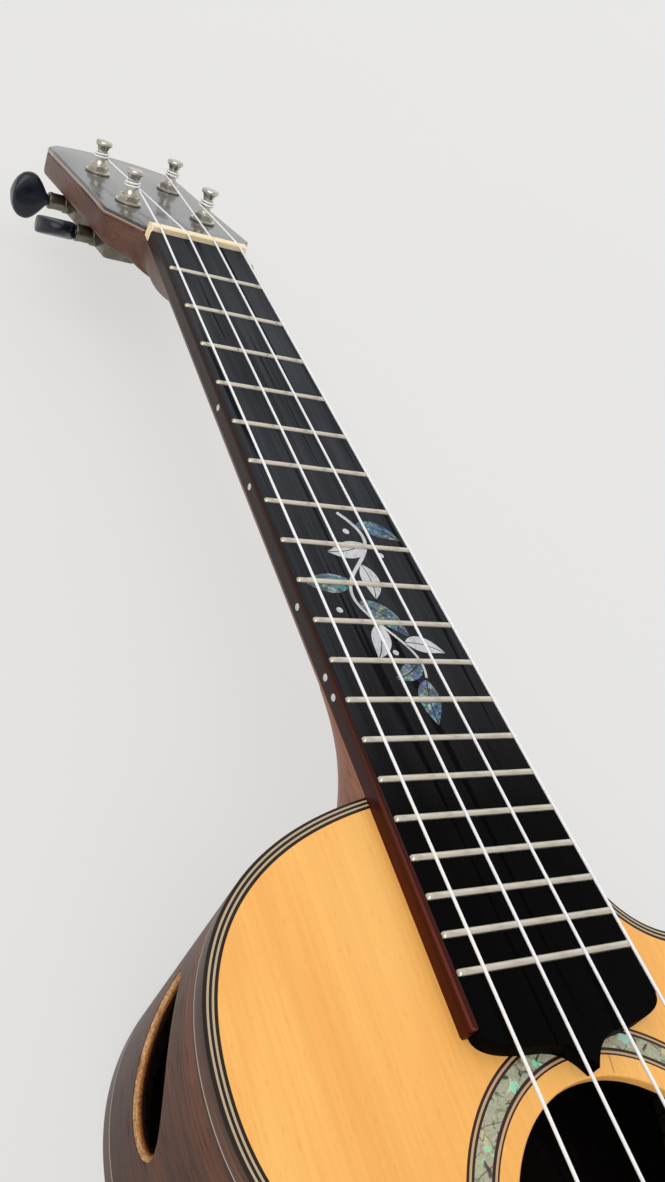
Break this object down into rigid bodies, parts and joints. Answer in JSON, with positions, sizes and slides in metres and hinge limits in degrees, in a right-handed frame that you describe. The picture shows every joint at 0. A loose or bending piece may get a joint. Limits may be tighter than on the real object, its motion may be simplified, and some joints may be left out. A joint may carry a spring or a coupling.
{
  "type": "tenor ukulele",
  "caption": "Tenor ukulele with a rounded cutaway, a round soundhole, a sound port in its side and worm-geared tuners that turn.",
  "frame": {"origin": "middle of the flat back, on the plane that it rests on", "axes": "+Z out of the soundboard, +Y from the tail to the headstock, +X to the side of the cutaway"},
  "size_m": [0.226, 0.6602, 0.0724],
  "materials": {
    "rosewood": "oiled, open grain",
    "pale_wood": "satin, scorched at one end",
    "lining_wood": "bare",
    "honey_top": "satin lacquer",
    "shell": "polished shell pieces",
    "neck_wood": "satin lacquer",
    "dark_veneer": "gloss lacquer",
    "ebony": "polished",
    "edge_wood": "polished",
    "fret_metal": "polished nickel alloy",
    "bone": "satin",
    "tuner_metal": "nickel plate",
    "knob": "gloss",
    "nylon": "clear to white"
  },
  "bodies": {
    "instrument": {"body_sides": "rosewood", "port_ring": "pale_wood", "back_edge_band": "rosewood", "top_edge_band": "rosewood", "top_lining": "lining_wood", "back_lining": "lining_wood", "neck_block": "lining_wood", "tail_block": "lining_wood", "soundboard": "honey_top", "rosette": "shell", "back_plate": "rosewood", "top_brace": "lining_wood", "back_brace": "lining_wood", "neck": "neck_wood", "headplate": "dark_veneer", "fingerboard": "ebony", "board_edge_bass": "edge_wood", "board_edge_treble": "edge_wood", "nut": "bone", "bridge": "ebony", "saddle": "bone", "fret_01": "fret_metal", "fret_02": "fret_metal", "fret_03": "fret_metal", "fret_04": "fret_metal", "fret_05": "fret_metal", "fret_06": "fret_metal", "fret_07": "fret_metal", "fret_08": "fret_metal", "fret_09": "fret_metal", "fret_10": "fret_metal", "fret_11": "fret_metal", "fret_12": "fret_metal", "fret_13": "fret_metal", "fret_14": "fret_metal", "fret_15": "fret_metal", "fret_16": "fret_metal", "fret_17": "fret_metal", "fret_18": "fret_metal", "fret_19": "fret_metal", "tuner_sleeve_g": "tuner_metal", "tuner_housing_g": "tuner_metal", "string_g": "nylon", "tuner_sleeve_c": "tuner_metal", "tuner_housing_c": "tuner_metal", "string_c": "nylon", "tuner_sleeve_e": "tuner_metal", "tuner_housing_e": "tuner_metal", "string_e": "nylon", "tuner_sleeve_a": "tuner_metal", "tuner_housing_a": "tuner_metal", "string_a": "nylon"},
    "post_g": {"tuner_post_g": "tuner_metal"},
    "button_g": {"tuner_button_g": "knob"},
    "post_c": {"tuner_post_c": "tuner_metal"},
    "button_c": {"tuner_button_c": "knob"},
    "post_e": {"tuner_post_e": "tuner_metal"},
    "button_e": {"tuner_button_e": "knob"},
    "post_a": {"tuner_post_a": "tuner_metal"},
    "button_a": {"tuner_button_a": "knob"}
  },
  "joints": [
    {"name": "post_turn_g", "type": "hinge", "parent": "instrument", "child": "post_g", "pos_m": [-0.016, 0.42799, 0.05414], "axis": [0, 0.2419, 0.9703], "continuous": true},
    {"name": "button_turn_g", "type": "hinge", "parent": "instrument", "child": "button_g", "pos_m": [-0.016, 0.43125, 0.03828], "axis": [1, 0, 0], "continuous": true},
    {"name": "post_turn_c", "type": "hinge", "parent": "instrument", "child": "post_c", "pos_m": [-0.016, 0.46923, 0.04385], "axis": [0, 0.2419, 0.9703], "continuous": true},
    {"name": "button_turn_c", "type": "hinge", "parent": "instrument", "child": "button_c", "pos_m": [-0.016, 0.47249, 0.02799], "axis": [1, 0, 0], "continuous": true},
    {"name": "post_turn_e", "type": "hinge", "parent": "instrument", "child": "post_e", "pos_m": [0.016, 0.46923, 0.04385], "axis": [0, 0.2419, 0.9703], "continuous": true},
    {"name": "button_turn_e", "type": "hinge", "parent": "instrument", "child": "button_e", "pos_m": [0.016, 0.47249, 0.02799], "axis": [1, 0, 0], "continuous": true},
    {"name": "post_turn_a", "type": "hinge", "parent": "instrument", "child": "post_a", "pos_m": [0.016, 0.42799, 0.05414], "axis": [0, 0.2419, 0.9703], "continuous": true},
    {"name": "button_turn_a", "type": "hinge", "parent": "instrument", "child": "button_a", "pos_m": [0.016, 0.43125, 0.03828], "axis": [1, 0, 0], "continuous": true}
  ],
  "couplings": [
    {"joint": "button_turn_g", "follows": "post_turn_g", "ratio": -14},
    {"joint": "button_turn_c", "follows": "post_turn_c", "ratio": -14},
    {"joint": "button_turn_e", "follows": "post_turn_e", "ratio": 14},
    {"joint": "button_turn_a", "follows": "post_turn_a", "ratio": 14}
  ]
}
